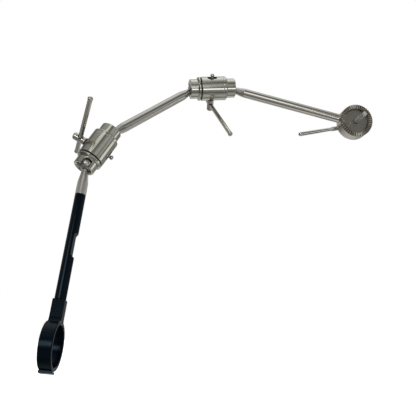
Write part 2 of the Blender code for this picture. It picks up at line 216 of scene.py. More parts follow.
def made_of(name, points, faces):
    """Mesh object from its points and faces, linked to the scene."""
    mesh = bpy.data.meshes.new(name)
    mesh.from_pydata([tuple(p) for p in points], [], faces)
    piece = bpy.data.objects.new(name, mesh)
    bpy.context.scene.collection.objects.link(piece)
    return piece


def eased(profile, size, closed):
    """The profile with its corners rounded by short curves that cut at most 'size' off a side."""
    nearly_straight = math.radians(168)
    most_of_a_side = 0.42
    smooth = []
    count = len(profile)
    for number, point in enumerate(profile):
        here = Vector(point)
        before = Vector(profile[number - 1]) - here
        after = Vector(profile[(number + 1) % count]) - here
        end = not closed and number in (0, count - 1)
        if end or size <= 0.0 or before.angle(after) > nearly_straight:
            smooth.append(here)
            continue
        first = here + before.normalized() * min(size, most_of_a_side * before.length)
        last = here + after.normalized() * min(size, most_of_a_side * after.length)
        for t in (0.0, 0.33, 0.67, 1.0):
            smooth.append((1 - t) ** 2 * first + 2 * t * (1 - t) * here + t * t * last)
    return smooth


def turned(name, profile, steps=96, ease=0.25, teeth=None):
    """Solid turned about z from (radius, z) pairs, anticlockwise in the r-z half plane.

    A profile that starts and ends on the axis is closed by poles there. Any other closes on itself.
    'teeth' gives how far a point is lowered, from its radius, z and angle.
    """
    closed = profile[0][0] > ON_AXIS
    points = []
    rings = []
    for radius, z in eased(profile, ease, closed):
        if radius < ON_AXIS:
            rings.append([len(points)] * steps)
            points.append((0.0, 0.0, z))
            continue
        rings.append(list(range(len(points), len(points) + steps)))
        for step in range(steps):
            angle = math.tau * step / steps
            drop = teeth(radius, z, angle) if teeth else 0.0
            points.append((radius * math.cos(angle), radius * math.sin(angle), z - drop))
    faces = []
    for number in range(len(rings) if closed else len(rings) - 1):
        low, high = rings[number], rings[(number + 1) % len(rings)]
        for step in range(steps):
            after = (step + 1) % steps
            corners = list(dict.fromkeys([low[step], low[after], high[after], high[step]]))
            if len(corners) > 2:
                faces.append(corners)
    return made_of(name, points, faces)


def column(name, radius, start, end, steps=48):
    return turned(name, [(0, start), (radius, start), (radius, end), (0, end)], steps, 0.0)


def prism(name, outline, reach):
    """Solid from an outline of (y, z) points, anticlockwise from +x, extruded along x."""
    count = len(outline)
    points = [(reach[0], y, z) for y, z in outline] + [(reach[1], y, z) for y, z in outline]
    faces = [tuple(range(count))[::-1], tuple(range(count, 2 * count))]
    faces += [(n, (n + 1) % count, (n + 1) % count + count, n + count) for n in range(count)]
    return made_of(name, points, faces)


def oblong(name, half, ends, reach, count=20):
    """Bar along x with semicircular low and high ends in z, of half-width 'half' in y."""
    outline = []
    for middle, start in ((ends[1] - half, 0.0), (ends[0] + half, 180.0)):
        for n in range(count + 1):
            angle = math.radians(start + 180.0 * n / count)
            outline.append((half * math.cos(angle), middle + half * math.sin(angle)))
    return prism(name, outline, reach)


def applied(piece):
    """The piece with its modifiers made part of its mesh."""
    graph = bpy.context.evaluated_depsgraph_get()
    mesh = bpy.data.meshes.new_from_object(piece.evaluated_get(graph))
    piece.modifiers.clear()
    piece.data = mesh
    return piece


def combined(piece, cutter, turn=None, operation="DIFFERENCE"):
    """The piece after a boolean with a cutter, which is then removed.

    'turn' is the cutter's frame, as seen from the piece's own.
    """
    if turn is not None:
        cutter.matrix_world = turn
    step = piece.modifiers.new(cutter.name, "BOOLEAN")
    step.operation = operation
    step.solver = "EXACT"
    step.object = cutter
    bpy.context.view_layer.update()
    applied(piece)
    bpy.data.objects.remove(cutter, do_unlink=True)
    return piece


def bevelled(piece, width):
    step = piece.modifiers.new("edge", "BEVEL")
    step.width = width
    step.segments = 3
    step.limit_method = "ANGLE"
    step.angle_limit = math.radians(35)
    bpy.context.view_layer.update()
    return applied(piece)


def from_frame(place, other):
    """The other frame, as seen from the first one, both in millimetres."""
    return place.inverted() @ other


def finished(piece, node, place, material, sharp=34.0):
    """Moves a piece to the row frame, and lets it stand for its CAD node on that node's body.

    The material reads two attributes: 'spot', the place in the piece's own frame in millimetres,
    and 'grain', the way the tool marks run.
    """
    mesh = piece.data
    spot = mesh.attributes.new("spot", "FLOAT_VECTOR", "POINT")
    grain = mesh.attributes.new("grain", "FLOAT_VECTOR", "POINT")
    rotation = place.to_3x3().normalized()
    for vertex in mesh.vertices:
        spot.data[vertex.index].vector = vertex.co
        around = Vector((-vertex.co.y, vertex.co.x, 0.0))
        if around.length < 1e-4:
            around = Vector((0, 1, 0))
        grain.data[vertex.index].vector = rotation @ around.normalized()
    mesh.transform(place)
    mesh.shade_smooth()
    mesh.set_sharp_from_angle(angle=math.radians(sharp))
    mesh.materials.clear()
    mesh.materials.append(material)
    weigh = piece.modifiers.new("flat_faces", "WEIGHTED_NORMAL")
    weigh.keep_sharp = True
    piece.name = node + "_fine"
    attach(piece, BODY_OF[node])
    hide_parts(node)
    return piece


def faced(piece, material, level, within):
    """Gives another material to the faces above a level on a piece's axis and near enough to it."""
    mesh = piece.data
    mesh.materials.append(material)
    for face in mesh.polygons:
        spots = [mesh.attributes["spot"].data[n].vector for n in face.vertices]
        middle = sum(spots, Vector()) / len(spots)
        if middle.z > level and middle.xy.length < within:
            face.material_index = len(mesh.materials) - 1


# ---- materials -----------------------------------------------------------------------------------
def linked(tree, kind, **inputs):
    """New shader node.

    Each input is a value or another node's output socket, named by its label or by '_' and its
    number. Names that start with 'set_' set the node's properties.
    """
    made = tree.nodes.new(kind)
    for key, value in inputs.items():
        if key.startswith("set_"):
            setattr(made, key[4:], value)
            continue
        numbered = key[0] == "_" and key[1:].isdigit()
        socket = made.inputs[int(key[1:]) if numbered else key]
        if isinstance(value, bpy.types.NodeSocket):
            tree.links.new(value, socket)
        else:
            socket.default_value = value
    return made


def maths(tree, operation, first, second=0.0):
    return linked(tree, "ShaderNodeMath", set_operation=operation, _0=first, _1=second).outputs[0]


def weighed(tree, first, second, weights):
    """Sum of two values, each times its own weight."""
    return maths(tree, "ADD", maths(tree, "MULTIPLY", first, weights[0]),
                 maths(tree, "MULTIPLY", second, weights[1]))


def remapped(tree, value, source, target=(0.0, 1.0)):
    """The value with the range 'source' stretched to the range 'target', and held at its ends."""
    ends = {"From Min": source[0], "From Max": source[1], "To Min": target[0], "To Max": target[1]}
    return linked(tree, "ShaderNodeMapRange", Value=value, **ends).outputs[0]


def scaled(tree, colour, factor):
    made = linked(tree, "ShaderNodeVectorMath", set_operation="SCALE", _0=colour, Scale=factor)
    return made.outputs[0]


def blank(name, colour, roughness, metallic):
    """A material and its Principled BSDF, with the plain values that a simple viewer shows."""
    made = bpy.data.materials.new(name)
    made.use_nodes = True
    made.diffuse_color = (*colour, 1.0)
    shader = made.node_tree.nodes["Principled BSDF"]
    shader.inputs["Base Color"].default_value = (*colour, 1.0)
    shader.inputs["Roughness"].default_value = roughness
    shader.inputs["Metallic"].default_value = metallic
    return made, made.node_tree, shader


def turning_place(tree):
    """The 'spot' attribute, and the distance along the turning axis plus the distance from it.

    That sum is the same all along a tool mark.
    """
    spot = linked(tree, "ShaderNodeAttribute", set_attribute_name="spot").outputs["Vector"]
    x, y, z = linked(tree, "ShaderNodeSeparateXYZ", Vector=spot).outputs
    square = maths(tree, "ADD", maths(tree, "MULTIPLY", x, x), maths(tree, "MULTIPLY", y, y))
    return spot, maths(tree, "ADD", maths(tree, "SQRT", square), z)


def line_noise(tree, place, pitch, detail=2.0):
    """Random lines across the turning axis, with about 'pitch' millimetres from one to the next."""
    steps = maths(tree, "DIVIDE", place, pitch)
    made = linked(tree, "ShaderNodeTexNoise", set_noise_dimensions="1D", W=steps, Scale=1.0,
                  Detail=detail)
    return made.outputs[0]


def cloud_noise(tree, spot, scale, detail):
    return linked(tree, "ShaderNodeTexNoise", Vector=spot, Scale=scale, Detail=detail).outputs[0]


def bumped(tree, shader, height, strength):
    made = linked(tree, "ShaderNodeBump", Strength=strength, Distance=MARK_DEPTH, Height=height)
    tree.links.new(made.outputs[0], shader.inputs["Normal"])


def mixed(tree, factor, first, second):
    """Colour between two others, each given as three numbers or as another node's output socket."""
    if not isinstance(first, bpy.types.NodeSocket):
        first = (*first, 1.0)
    if not isinstance(second, bpy.types.NodeSocket):
        second = (*second, 1.0)
    made = linked(tree, "ShaderNodeMix", set_data_type="RGBA", _0=factor, _6=first, _7=second)
    return made.outputs[2]


def turned_metal(name, colour, roughness, marks, anisotropic=0.0, roots=0.0, metallic=1.0):
    """Lathe-turned steel: fine tool marks round the axis, bands of tone, a faint haze of handling.

    'marks' is how strongly they show. 'anisotropic' stretches the highlights across the marks.
    'roots' is how much painted shade darkens the roots of teeth cut in the face at z = 0.
    A 'metallic' below 1 gives the dull look of plating.
    """
    made, tree, shader = blank(name, colour, roughness, metallic)
    spot, place = turning_place(tree)
    fine = line_noise(tree, place, FINE_PITCH, 3.0)
    bands = line_noise(tree, place, BAND_PITCH)
    haze = cloud_noise(tree, spot, 0.12, 1.0)
    dark = tuple(c * (1.0 - 0.20 * marks) for c in colour)
    light = tuple(min(1.0, c * (1.0 + 0.12 * marks)) for c in colour)
    broad = weighed(tree, bands, haze, (0.45, 0.2))
    tone = weighed(tree, fine, broad, (0.35, 1.0))
    skin = mixed(tree, remapped(tree, tone, (0.3, 0.7)), dark, light)
    # Painted shade: the metal is darker towards the roots of the teeth.
    if roots:
        height = linked(tree, "ShaderNodeSeparateXYZ", Vector=spot).outputs[2]
        flank = (-0.9 * TOOTH_HEIGHT, -0.2 * TOOTH_HEIGHT)
        skin = scaled(tree, skin, remapped(tree, height, flank, (1.0 - roots, 1.0)))
    tree.links.new(skin, shader.inputs["Base Color"])
    wear = weighed(tree, fine, haze, (0.5, 0.5))
    blur = remapped(tree, wear, (0.0, 1.0), (roughness * 0.94, roughness * 1.06))
    tree.links.new(blur, shader.inputs["Roughness"])
    bumped(tree, shader, bands, 0.1 * marks)
    if anisotropic:
        shader.inputs["Anisotropic"].default_value = anisotropic
        shader.inputs["Anisotropic Rotation"].default_value = QUARTER_TURN
        grain = linked(tree, "ShaderNodeAttribute", set_attribute_name="grain").outputs["Vector"]
        turn = linked(tree, "ShaderNodeVectorTransform", set_vector_type="VECTOR",
                      set_convert_from="OBJECT", set_convert_to="WORLD", Vector=grain)
        tree.links.new(turn.outputs[0], shader.inputs["Tangent"])
    return made


def anodised(name, colour, roughness, painted_highlight_side=None):
    """Black anodised aluminium: a satin blue-black skin over faint tool marks.

    The last argument is the angle about the piece's axis, in degrees, of a painted highlight:
    a thin grey line painted on the skin in place of a reflection, stronger towards the far end.
    """
    made, tree, shader = blank(name, colour, roughness, 0.0)
    spot, place = turning_place(tree)
    haze = cloud_noise(tree, spot, 0.2, 4.0)
    light = tuple(c * 1.5 for c in colour)
    skin = mixed(tree, haze, colour, light)
    if painted_highlight_side is not None:
        # Painted highlight: a thin grey line along one side of the rod, standing in for a reflection.
        x, y, z = linked(tree, "ShaderNodeSeparateXYZ", Vector=spot).outputs
        side = math.radians(painted_highlight_side)
        beside = maths(tree, "ABSOLUTE", weighed(tree, x, y, (math.sin(side), -math.cos(side))))
        facing = weighed(tree, x, y, (math.cos(side), math.sin(side)))
        line = maths(tree, "MULTIPLY", remapped(tree, beside, PAINTED_HIGHLIGHT_EDGES),
                     maths(tree, "GREATER_THAN", facing, 0.0))
        line = maths(tree, "MULTIPLY", line, remapped(tree, z, PAINTED_HIGHLIGHT_ALONG))
        skin = mixed(tree, line, skin, PAINTED_HIGHLIGHT_GREY)
    tree.links.new(skin, shader.inputs["Base Color"])
    blur = remapped(tree, haze, (0.0, 1.0), (roughness * 0.85, roughness * 1.15))
    tree.links.new(blur, shader.inputs["Roughness"])
    bumped(tree, shader, line_noise(tree, place, 0.5), 0.1)
    shader.inputs["Specular IOR Level"].default_value = 0.14
    shader.inputs["Specular Tint"].default_value = (0.50, 0.78, 1.0, 1.0)
    return made


def rubbery(name, colour):
    made, tree, shader = blank(name, colour, 0.75, 0.0)
    spot = linked(tree, "ShaderNodeAttribute", set_attribute_name="spot").outputs["Vector"]
    grain = cloud_noise(tree, spot, 2.5, 3.0)
    tree.links.new(remapped(tree, grain, (0.0, 1.0), (0.65, 0.9)), shader.inputs["Roughness"])
    light = tuple(c * 1.8 for c in colour)
    tree.links.new(mixed(tree, grain, colour, light), shader.inputs["Base Color"])
    return made


FINE_PITCH = 0.35             # between fine tool marks, in millimetres
BAND_PITCH = 2.6              # between bands of tone
MARK_DEPTH = 0.000002         # in metres
QUARTER_TURN = 0.25           # the tangent runs along the marks, and the highlights across them
BLACK_SKIN = (0.0012, 0.0035, 0.007)
# A painted highlight on the handle rod: a thin grey line in place of a reflection, at a fixed angle.
PAINTED_HIGHLIGHT_GREY = (0.07, 0.09, 0.115)
PAINTED_HIGHLIGHT_SIDE = 92.0
PAINTED_HIGHLIGHT_EDGES = (0.9, 0.25)    # millimetres from the line's middle to where it ends, and is full
PAINTED_HIGHLIGHT_ALONG = (40.0, 125.0)  # millimetres from the ball to where the highlight begins, and is full

HOUSING_STEEL = turned_metal(
    "housing_steel", (0.545, 0.535, 0.465), roughness=0.15, marks=0.6, anisotropic=0.6,
)
HEAD_STEEL = turned_metal(
    "head_steel", (0.56, 0.535, 0.47), roughness=0.30, marks=0.8, anisotropic=0.4,
)
# Darker copies of the head steel, painted shade: the toothed rim, also darkened at the tooth roots, and the
# recess.
RIM_STEEL = turned_metal(
    "head_rim_steel", (0.43, 0.40, 0.345), roughness=0.30, marks=0.9, roots=0.45,
)
FACE_STEEL = turned_metal("head_face_steel", (0.27, 0.255, 0.225), roughness=0.34, marks=0.9)
STUD_STEEL = turned_metal(
    "stud_steel", (0.74, 0.73, 0.70), roughness=0.30, marks=0.4, metallic=0.45,
)
ROD_STEEL = turned_metal(
    "rod_steel", (0.54, 0.525, 0.47), roughness=0.13, marks=0.2, anisotropic=0.4,
)
# A darker copy of the rod steel for the middle rod: painted shade.
MIDDLE_STEEL = turned_metal(
    "middle_rod_steel", (0.46, 0.45, 0.41), roughness=0.17, marks=0.2, anisotropic=0.4,
)
BAR_STEEL = turned_metal(
    "bar_steel", (0.55, 0.53, 0.465), roughness=0.16, marks=0.4, anisotropic=0.3,
)
SATIN_STEEL = turned_metal(
    "satin_steel", (0.58, 0.57, 0.525), roughness=0.36, marks=0.3, anisotropic=0.3,
)
BALL_STEEL = turned_metal("ball_steel", (0.44, 0.43, 0.40), roughness=0.30, marks=0.3)
POLISHED = turned_metal("polished_steel", (0.53, 0.525, 0.50), roughness=0.12, marks=0.2)
BLACK = anodised("black_anodised", BLACK_SKIN, 0.24)
# The rod's copy carries the painted highlight, a thin grey line along it.
ROD_BLACK = anodised("black_anodised_rod", BLACK_SKIN, 0.24, PAINTED_HIGHLIGHT_SIDE)
RUBBER = rubbery("black_rubber", (0.012, 0.012, 0.014))


# ---- mounting end --------------------------------------------------------------------------------
def tooth_drop(radius, z, angle):
    """How far a point of the toothed rim is lowered: narrow crests and roots, sloping flanks."""
    root = -TOOTH_HEIGHT - 0.5
    if z < root or not RECESS_R - 0.01 < radius < HEAD_R + 0.01:
        return 0.0
    phase = (angle * TEETH / math.tau) % 1.0
    depth = min(1.0, max(0.0, 1.5 * abs(2.0 * phase - 1.0) - 0.25))
    return TOOTH_HEIGHT * depth * (z - root) / -root


def rosette_head():
    root = -TOOTH_HEIGHT
    profile = [
        (HEAD_BORE_R, -HEAD_DEPTH), (HEAD_R - 0.8, -HEAD_DEPTH), (HEAD_R, -HEAD_DEPTH + 0.8),
        (HEAD_R, root - 0.5), (HEAD_R - 0.4, 0.0), (RECESS_R + 0.3, 0.0), (RECESS_R, root - 0.5),
        (RECESS_R, -RECESS_DEPTH), (HEAD_BORE_R, -RECESS_DEPTH),
    ]
    head = turned("rosette_head", profile, 8 * TEETH, 0.2, tooth_drop)
    socket = column("socket", ROD_R + GAP, SOCKET_FROM, 30.0, 64)
    combined(head, socket, from_frame(ROSETTE, MOUNT_ROD))
    combined(head, column("pin_hole", DOWEL_R + GAP, *DOWEL_HOLE, 32), from_frame(ROSETTE, DOWEL))
    finished(head, "rosette_head", ROSETTE, HEAD_STEEL, 24.0)
    # The recess and the toothed rim take the darker copies of the head steel: painted shade.
    inside = HEAD_R - 0.1
    faced(head, FACE_STEEL, -RECESS_DEPTH - 0.2, inside)
    faced(head, RIM_STEEL, -TOOTH_HEIGHT - 0.6, inside)


def clamp_parts():
    profile = [
        (0, -HUB_BACK + 0.8), (3.6, -HUB_BACK + 0.8), (4.2, -HUB_BACK), (HUB_R - 2.2, -HUB_BACK),
        (HUB_R, -HUB_BACK + 1.6), (HUB_R, -HUB_FRONT - 0.5), (HUB_R - 0.5, -HUB_FRONT),
        (SCREW_R, -HUB_FRONT), (SCREW_R, SCREW_NOSE - 1.8), (SCREW_R - 0.5, SCREW_NOSE - 0.8),
        (SCREW_R - 1.4, SCREW_NOSE - 0.2), (0, SCREW_NOSE),
    ]
    screw = turned("clamp_screw", profile, 64, 0.3)
    hole = column("lever_hole", LEVER_TENON_R + GAP, *LEVER_HOLE)
    combined(screw, hole, from_frame(ROSETTE, LEVER))
    finished(screw, "clamp_screw", ROSETTE, STUD_STEEL)
    near, far = CLAMP_WASHER
    washer = [(HEAD_BORE_R, -far), (HUB_R, -far), (HUB_R, -near), (HEAD_BORE_R, -near)]
    finished(turned("clamp_washer", washer, 64, 0.2), "clamp_washer", ROSETTE, HEAD_STEEL)
    profile = [
        (0, 3.4), (LEVER_TENON_R, 3.4), (LEVER_TENON_R, 7.9), (2.6, 7.9), (2.6, 21.5), (2.2, 23.0),
        (1.9, 24.5), (LEVER_R, 36.0), (LEVER_R + 0.2, LEVER_REACH - 2.2),
        (LEVER_R - 0.6, LEVER_REACH - 0.4), (0, LEVER_REACH),
    ]
    finished(turned("clamp_lever", profile, 48, 0.8), "clamp_lever", LEVER, POLISHED)


def rod_end(sign, reach):
    """Profile of a rod's end from its tenon to its full width, for a ball centred at 'reach'."""
    steps = ((TENON_R, TENON_END), (TENON_R, NECK_FROM), (NECK_R, NECK_FROM), (NECK_R, NECK_TO))
    points = [(radius, reach + sign * at) for radius, at in steps]
    span = TAPER_TO - NECK_TO
    rows = 12
    for n in range(1, rows + 1):
        t = n / rows
        swell = 0.75 * t + 0.25 * (3 * t * t - 2 * t ** 3)
        points.append((NECK_R + (ROD_R - NECK_R) * swell, reach + sign * (NECK_TO + span * t)))
    tip = [(0, reach + sign * TENON_END)]
    return tip + points if sign > 0 else points[::-1] + tip


def rods():
    start = [(0, MOUNT_ROD_FROM), (ROD_R - 0.6, MOUNT_ROD_FROM), (ROD_R, MOUNT_ROD_FROM + 0.6)]
    rod = turned("mount_rod", start + rod_end(-1, MOUNT_ROD_REACH), 72)
    combined(rod, column("pin_hole", DOWEL_R + GAP, *DOWEL_HOLE, 32), from_frame(MOUNT_ROD, DOWEL))
    finished(rod, "mount_rod", MOUNT_ROD, ROD_STEEL)
    low, high = DOWEL_ENDS
    pin = [(0, low), (DOWEL_R, low), (DOWEL_R, high), (0, high)]
    finished(turned("mount_rod_pin", pin, 32, 0.4), "mount_rod_pin", DOWEL, POLISHED)
    rod = turned("middle_rod", rod_end(1, 0.0) + rod_end(-1, MIDDLE_ROD_REACH), 72)
    finished(rod, "middle_rod", MIDDLE_ROD, MIDDLE_STEEL)


# ---- joint housing -------------------------------------------------------------------------------
def arc(centre, radius, start, end, count):
    """Points of a sphere's profile between two angles from the +z pole, in degrees."""
    angles = [math.radians(start + (end - start) * n / count) for n in range(count + 1)]
    return [(radius * math.sin(a), centre + radius * math.cos(a)) for a in angles]


def ball(node, centre, way):
    flat = math.degrees(math.acos(BALL_FLAT / BALL_R))
    profile = arc(0.0, BALL_R, 180.0, flat, 30)
    profile += [(BALL_BORE_R, BALL_FLAT), (BALL_BORE_R, BALL_BORE_END), (0, BALL_BORE_END)]
    profile[0] = (0, -BALL_R)
    finished(turned(node, profile, 64, 0.1), node, placed(centre, way, UP), BALL_STEEL)


def slotted(piece, turn):
    """Cuts the fold slot: straight-sided with a round end, from the mouth back to the ball."""
    half = SLOT_WIDTH / 2
    slot = oblong("slot", half, (SLOT_ARCH - half, 40.0), (3.0, 16.0))
    return combined(piece, slot, Matrix.Rotation(math.radians(turn), 4, "Z"))


def housing_body(arm, place, across):
    groove = 0.12
    rear, front = BODY_COLLAR
    profile = [
        (CAP_BORE_R, BODY_REAR), (BODY_R - 1.1, BODY_REAR), (BODY_R, BODY_REAR + 1.1),
        (BODY_R, -13.4), (BODY_R - groove, -13.2), (BODY_R - groove, -13.0), (BODY_R, -12.8),
        (BODY_R, BODY_FRONT - 0.4), (BODY_R - 0.4, BODY_FRONT), (CAP_BORE_R, BODY_FRONT),
        (CAP_BORE_R, front), (BODY_BORE_R, front), (BODY_BORE_R, rear), (CAP_BORE_R, rear),
    ]
    body = turned(arm + "_body", profile, 128, 0.2)
    hole = [(0, 4.0), (2.6, 4.0), (2.6, 11.8), (4.8, 11.8), (4.8, 16.0), (0, 16.0)]
    combined(body, turned("screw_hole", hole, 52, 0.0), across)
    half = WINDOW[0] / 2
    ends = (CROSS_AT - half, CROSS_AT + half)
    combined(body, oblong("window", WINDOW[1] / 2, ends, (-16.0, -4.0)))
    finished(body, arm + "_body", place, HOUSING_STEEL)


def caps(arm, place):
    rear, front = SPIGOT_ENDS
    rear_wall, front_wall = CAP_WALLS
    profile = [
        (SEAT_BORE_R, rear), (SEAT_BORE_R, rear_wall), (6.8, rear_wall),
        (CAP_MOUTH_R, REAR_CAP_END), (REAR_CAP_R - 0.6, REAR_CAP_END),
        (REAR_CAP_R, REAR_CAP_END + 0.6), (REAR_CAP_R, BODY_REAR - GAP),
        (SPIGOT_R, BODY_REAR - GAP), (SPIGOT_R, rear),
    ]
    finished(turned(arm + "_rear_cap", profile, 128, 0.2), arm + "_rear_cap", place, HOUSING_STEEL)
    profile = [
        (SEAT_BORE_R, front), (SPIGOT_R, front), (SPIGOT_R, FRONT_CAP_STEP),
        (FRONT_CAP_R, FRONT_CAP_STEP), (FRONT_CAP_R, FRONT_CAP_END - 0.6),
        (FRONT_CAP_R - 0.6, FRONT_CAP_END), (CAP_MOUTH_R, FRONT_CAP_END), (7.5, front_wall),
        (SEAT_BORE_R, front_wall),
    ]
    cap = slotted(turned(arm + "_front_cap", profile, 128, 0.2), SLOT_FROM_SCREW[arm])
    finished(cap, arm + "_front_cap", place, HOUSING_STEEL)
    over = FRONT_CAP_R + 0.05
    thrust = [
        (CAP_BORE_R, 12.6), (12.8, 12.6), (12.8, 14.0), (11.6, 15.3), (over, 15.3),
        (over, FRONT_CAP_STEP - GAP), (CAP_BORE_R, FRONT_CAP_STEP - GAP),
    ]
    ring = turned(arm + "_thrust_ring", thrust, 128, 0.15)
    finished(ring, arm + "_thrust_ring", place, HOUSING_STEEL)
    seal = [(CAP_BORE_R, 11.5), (12.3, 11.5), (12.3, 12.3), (CAP_BORE_R, 12.3)]
    finished(turned(arm + "_seal_ring", seal, 128, 0.3), arm + "_seal_ring", place, RUBBER)
    centre = BALL_SPACING / 2
    seat = arc(centre, SEAT_SPHERE_R, 98.0, 64.0, 16)
    profile = [(SEAT_R, seat[0][1]), (SEAT_R, seat[-1][1])] + seat[::-1]
    ring = turned(arm + "_front_seat", profile, 96, 0.1)
    finished(slotted(ring, SLOT_FROM_SCREW[arm]), arm + "_front_seat", place, POLISHED)


def clamp_screws(arm, across):
    """The draw pin and the T screw with its washer, which lie on one line across the housing."""
    pin = [
        (0, -17.6), (1.4, -17.3), (2.3, -16.3), (2.3, -15.4), (1.4, -14.4), (1.7, -13.4),
        (1.7, -5.6), (4.2, -5.6), (4.6, -5.1), (3.6, 6.3), (2.6, 6.7), (2.6, 1.2), (0, 1.2),
    ]
    finished(turned(arm + "_draw_pin", pin, 48, 0.5), arm + "_draw_pin", across, POLISHED)
    profile = [
        (0, 1.8), (2.2, 1.8), (2.2, 13.6), (T_SCREW_R - 0.3, 13.6), (T_SCREW_R, 14.0),
        (T_SCREW_R, T_SCREW_END - 1.4), (T_SCREW_R - 1.3, T_SCREW_END - 0.2), (0, T_SCREW_END),
    ]
    screw = turned(arm + "_t_screw", profile, 64, 0.3)
    low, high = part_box(arm + "_tommy_bar")
    way = way_of(arm + "_bar_slide")
    bar = placed((low + high) / 2, way, BACK)
    cross = placed(across @ Vector((0, 0, T_BAR_AT)), way, BACK)
    narrow, wide = T_BAR_R + 0.35, T_BAR_R + 1.1
    hole = [(0, -6.0), (wide, -6.0), (narrow, -2.4), (narrow, 2.4), (wide, 6.0), (0, 6.0)]
    combined(screw, turned("bar_hole", hole, 48, 0.0), from_frame(across, cross))
    finished(screw, arm + "_t_screw", across, ROD_STEEL)
    washer = [(2.5, 12.1), (4.4, 12.1), (4.4, 13.3), (2.5, 13.3)]
    finished(turned(arm + "_t_washer", washer, 48, 0.3), arm + "_t_washer", across, RUBBER)
    end = T_BAR_HALF
    profile = [
        (0, -end), (1.7, -end + 0.5), (2.6, -end + 1.7), (2.6, -end + 2.3), (T_BAR_R, -end + 2.9),
        (T_BAR_R, end - 2.9), (2.6, end - 2.3), (2.6, end - 1.7), (1.7, end - 0.5), (0, end),
    ]
    finished(turned(arm + "_tommy_bar", profile, 48, 0.5), arm + "_tommy_bar", bar, BAR_STEEL)


def joint_housing(arm, rear_way, front_way):
    middle = (REAR_BALL[arm] + FRONT_BALL[arm]) / 2
    screw_way = way_of(arm + "_screw_turn")
    place = placed(middle, way_of(arm + "_rear_swivel"), screw_way)
    across = placed(along(place, CROSS_AT).translation, screw_way, BACK)
    housing_body(arm, place, from_frame(place, across))
    caps(arm, place)
    clamp_screws(arm, across)
    ball(arm + "_rear_ball", REAR_BALL[arm], -rear_way)
    ball(arm + "_front_ball", FRONT_BALL[arm], front_way)


# ---- handle --------------------------------------------------------------------------------------
def handle():
    profile = rod_end(1, 0.0) + [(ROD_R + 0.1, FERRULE_END - 0.3), (ROD_R - 0.2, FERRULE_END)]
    tip = FERRULE_END + FERRULE_TENON
    profile += [(FERRULE_TENON_R, FERRULE_END), (FERRULE_TENON_R, tip), (0, tip)]
    finished(turned("handle_ferrule", profile, 72), "handle_ferrule", HANDLE, SATIN_STEEL)
    start = FERRULE_END + GAP
    hole_r, hole_end = FERRULE_TENON_R + GAP, start + FERRULE_TENON + 0.5
    profile = [
        (0, hole_end), (hole_r, hole_end), (hole_r, start), (ROD_R - 0.3, start),
        (ROD_R, start + 0.3), (ROD_R, ROD_END), (PLUG_R, ROD_END), (PLUG_R, ROD_END + PLUG),
        (0, ROD_END + PLUG),
    ]
    rod = turned("handle_rod", profile, 96, 0.2)
    low, high = NOTCH
    floor = ROD_R - NOTCH_DEPTH
    outline = [
        (-8.0, high + NOTCH_SLOPE), (-8.0, low - NOTCH_SLOPE),
        (-floor, low + NOTCH_SLOPE), (-floor, high - NOTCH_SLOPE),
    ]
    combined(rod, prism("notch", outline, (-8.0, 8.0)), Matrix.Rotation(math.radians(90), 4, "Z"))
    finished(rod, "handle_rod", HANDLE, ROD_BLACK)


def ring_holder():
    half = RING_WIDTH / 2
    edge = 0.6
    profile = [
        (RING_BORE_R, -half + edge), (RING_BORE_R + edge, -half), (RING_R - edge, -half),
        (RING_R, -half + edge), (RING_R, half - edge), (RING_R - edge, half),
        (RING_BORE_R + edge, half), (RING_BORE_R, half - edge),
    ]
    ring = turned("ring_holder", profile, 192, 0.15)
    top = ROD_END + GAP
    wide, deep = (size / 2 for size in NECK_BLOCK)
    flare = HANDLE_REACH - RING_R - 3.0
    outline = [(deep, top), (deep, flare)]
    for n in range(1, 6):
        angle = math.radians(15 * n)
        outline.append((deep + 3.0 * (1 - math.cos(angle)), flare + 5.0 * math.sin(angle)))
    outline += [(-y, z) for y, z in outline[::-1]]
    neck = prism("neck", outline[::-1], (-wide, wide))
    bevelled(neck, 0.5)
    combined(ring, neck, from_frame(RING, HANDLE), "UNION")
    combined(ring, column("bore", RING_BORE_R, -10.0, 10.0, 192))
    socket = column("socket", PLUG_R + GAP, top - 2.0, ROD_END + PLUG + 0.4)
    combined(ring, socket, from_frame(RING, HANDLE))
    cross = along(HANDLE, ROD_END + SET_SCREW_AT) @ Matrix.Rotation(math.radians(90), 4, "X")
    hole = column("set_screw_hole", SET_SCREW_R + GAP, 0.0, 8.0, 40)
    combined(ring, hole, from_frame(RING, cross))
    finished(ring, "ring_holder", RING, BLACK)
    profile = [(0, 4.0), (SET_SCREW_R, 4.0), (SET_SCREW_R, 4.6), (0, 4.6)]
    screw = turned("holder_set_screw", profile, 40, 0.1)
    combined(screw, turned("hex", [(0, 4.2), (0.85, 4.2), (0.85, 5.0), (0, 5.0)], 6, 0.0))
    finished(screw, "holder_set_screw", cross, POLISHED)
    wide = FOOT_WIDTH / 2
    outline = [(wide, FOOT_TOP), (wide, FOOT_END), (-wide, FOOT_END), (-wide, FOOT_TOP)]
    foot = prism("foot_pad", outline[::-1], (-half, half))
    bevelled(foot, 0.4)
    combined(foot, column("ring_room", RING_R + GAP, -10.0, 10.0, 192), from_frame(FOOT, RING))
    finished(foot, "foot_pad", FOOT, BLACK)


rosette_head()
clamp_parts()
rods()
joint_housing("upper", MOUNT_WAY, MIDDLE_WAY)
joint_housing("lower", MIDDLE_WAY, HANDLE_WAY)
handle()
ring_holder()

LOOK_OF_SLOT = {
    "polished_steel": POLISHED, "brushed_stainless": HOUSING_STEEL, "black_rubber": RUBBER,
    "black_anodised": BLACK,
}
for name, part in frame["nodes"].items():
    part.data.materials.clear()
    part.data.materials.append(LOOK_OF_SLOT[SLOT_OF[name]])


# ---- studio --------------------------------------------------------------------------------------
def aimed(thing, place, target):
    """Stands a light at a place, facing the target."""
    thing.location = place
    thing.rotation_euler = (Vector(target) - Vector(place)).to_track_quat("-Z", "Y").to_euler()
    bpy.context.scene.collection.objects.link(thing)


